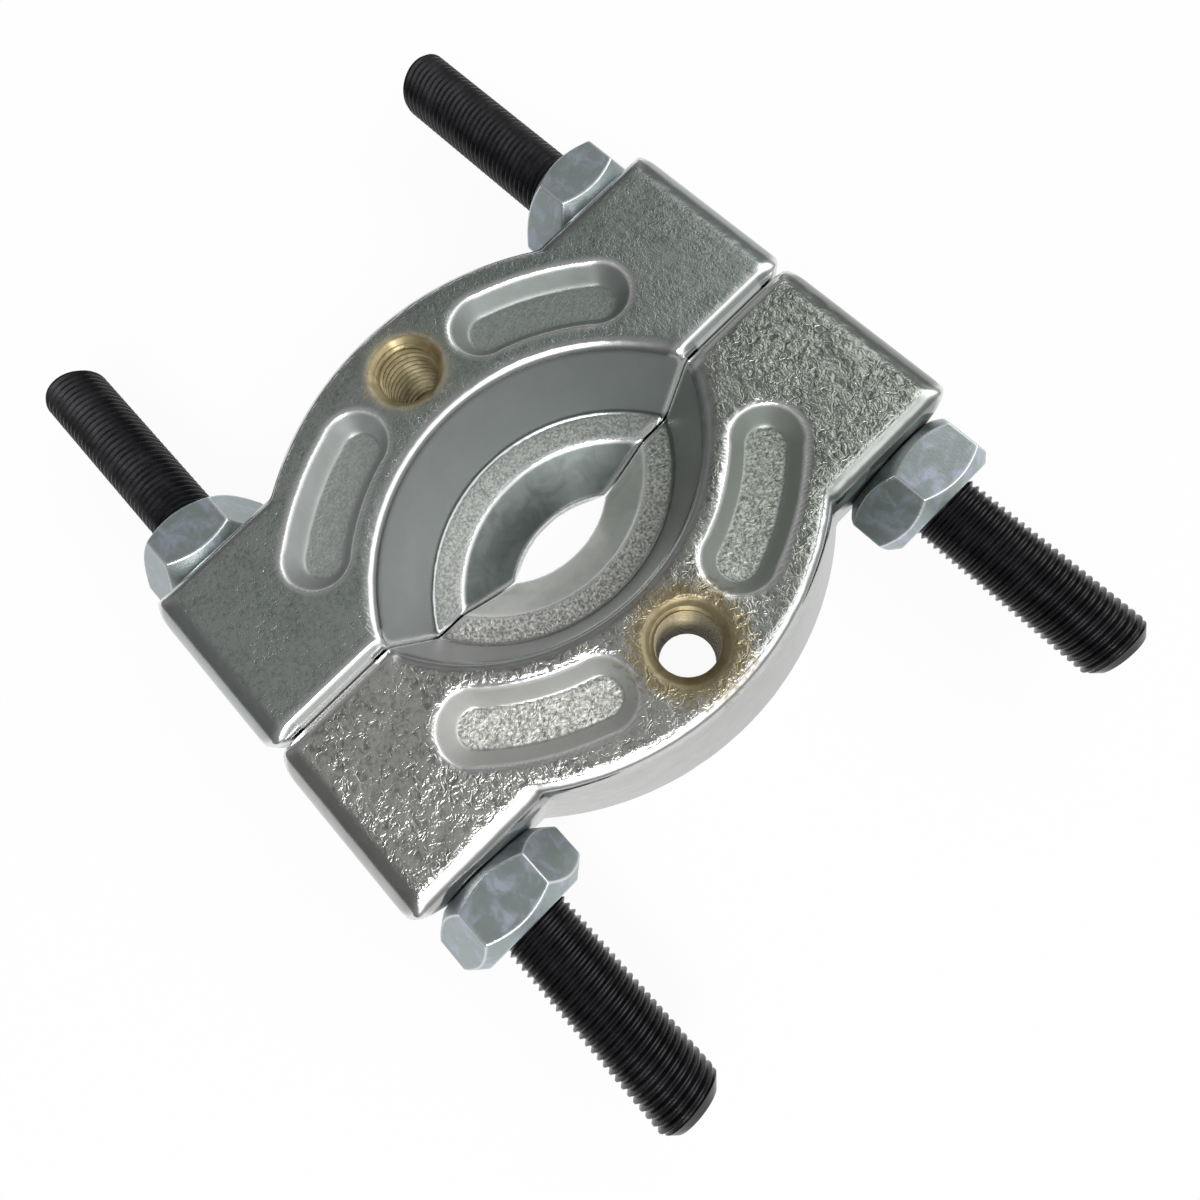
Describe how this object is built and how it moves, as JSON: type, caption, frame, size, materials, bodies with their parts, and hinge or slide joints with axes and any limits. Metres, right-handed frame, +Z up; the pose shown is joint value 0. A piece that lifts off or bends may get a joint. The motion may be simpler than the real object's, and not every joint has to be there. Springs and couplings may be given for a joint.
{
  "type": "bearing separator",
  "caption": "Split puller plate: half-round jaws with a stepped knife-edge opening, drawn together along threaded studs by hexagon nuts.",
  "frame": {"origin": "on the bottom face's plane, under the middle of the two studs", "axes": "+X along the studs towards the front jaw, +Y along the split line towards the right stud, +Z up through the jaws"},
  "size_m": [0.2, 0.1397, 0.029],
  "materials": {
    "front_jaw": "bright zinc plate over forged steel, coarse crinkled grain on the top face",
    "rear_jaw": "bright zinc plate over forged steel, fine grain",
    "stud": "black oxide, oiled",
    "nut": "satin zinc plate"
  },
  "bodies": {
    "studs": {"left_stud": "stud", "right_stud": "stud"},
    "front_jaw": {"front_jaw": "front_jaw"},
    "rear_jaw": {"rear_jaw": "rear_jaw"},
    "front_left_nut": {"front_left_nut": "nut"},
    "front_right_nut": {"front_right_nut": "nut"},
    "rear_left_nut": {"rear_left_nut": "nut"},
    "rear_right_nut": {"rear_right_nut": "nut"}
  },
  "joints": [
    {"name": "front_jaw_slide", "type": "slide", "parent": "studs", "child": "front_jaw", "axis": [1, 0, 0], "range_m": [0, 0.036]},
    {"name": "rear_jaw_slide", "type": "slide", "parent": "studs", "child": "rear_jaw", "axis": [-1, 0, 0], "range_m": [0, 0.045]},
    {"name": "front_left_nut_turn", "type": "hinge", "parent": "front_jaw", "child": "front_left_nut", "pos_m": [0.046, -0.0555, 0.0145], "axis": [1, 0, 0], "range_deg": [0, 8640]},
    {"name": "front_right_nut_turn", "type": "hinge", "parent": "front_jaw", "child": "front_right_nut", "pos_m": [0.046, 0.0555, 0.0145], "axis": [1, 0, 0], "range_deg": [0, 8640]},
    {"name": "rear_left_nut_turn", "type": "hinge", "parent": "rear_jaw", "child": "rear_left_nut", "pos_m": [-0.036, -0.0555, 0.0145], "axis": [-1, 0, 0], "range_deg": [0, 10800]},
    {"name": "rear_right_nut_turn", "type": "hinge", "parent": "rear_jaw", "child": "rear_right_nut", "pos_m": [-0.036, 0.0555, 0.0145], "axis": [-1, 0, 0], "range_deg": [0, 10800]}
  ],
  "couplings": [
    {"joint": "front_left_nut_turn", "follows": "front_jaw_slide", "rad_per_m": 4188.8},
    {"joint": "front_right_nut_turn", "follows": "front_jaw_slide", "rad_per_m": 4188.8},
    {"joint": "rear_left_nut_turn", "follows": "rear_jaw_slide", "rad_per_m": 4188.8},
    {"joint": "rear_right_nut_turn", "follows": "rear_jaw_slide", "rad_per_m": 4188.8}
  ]
}
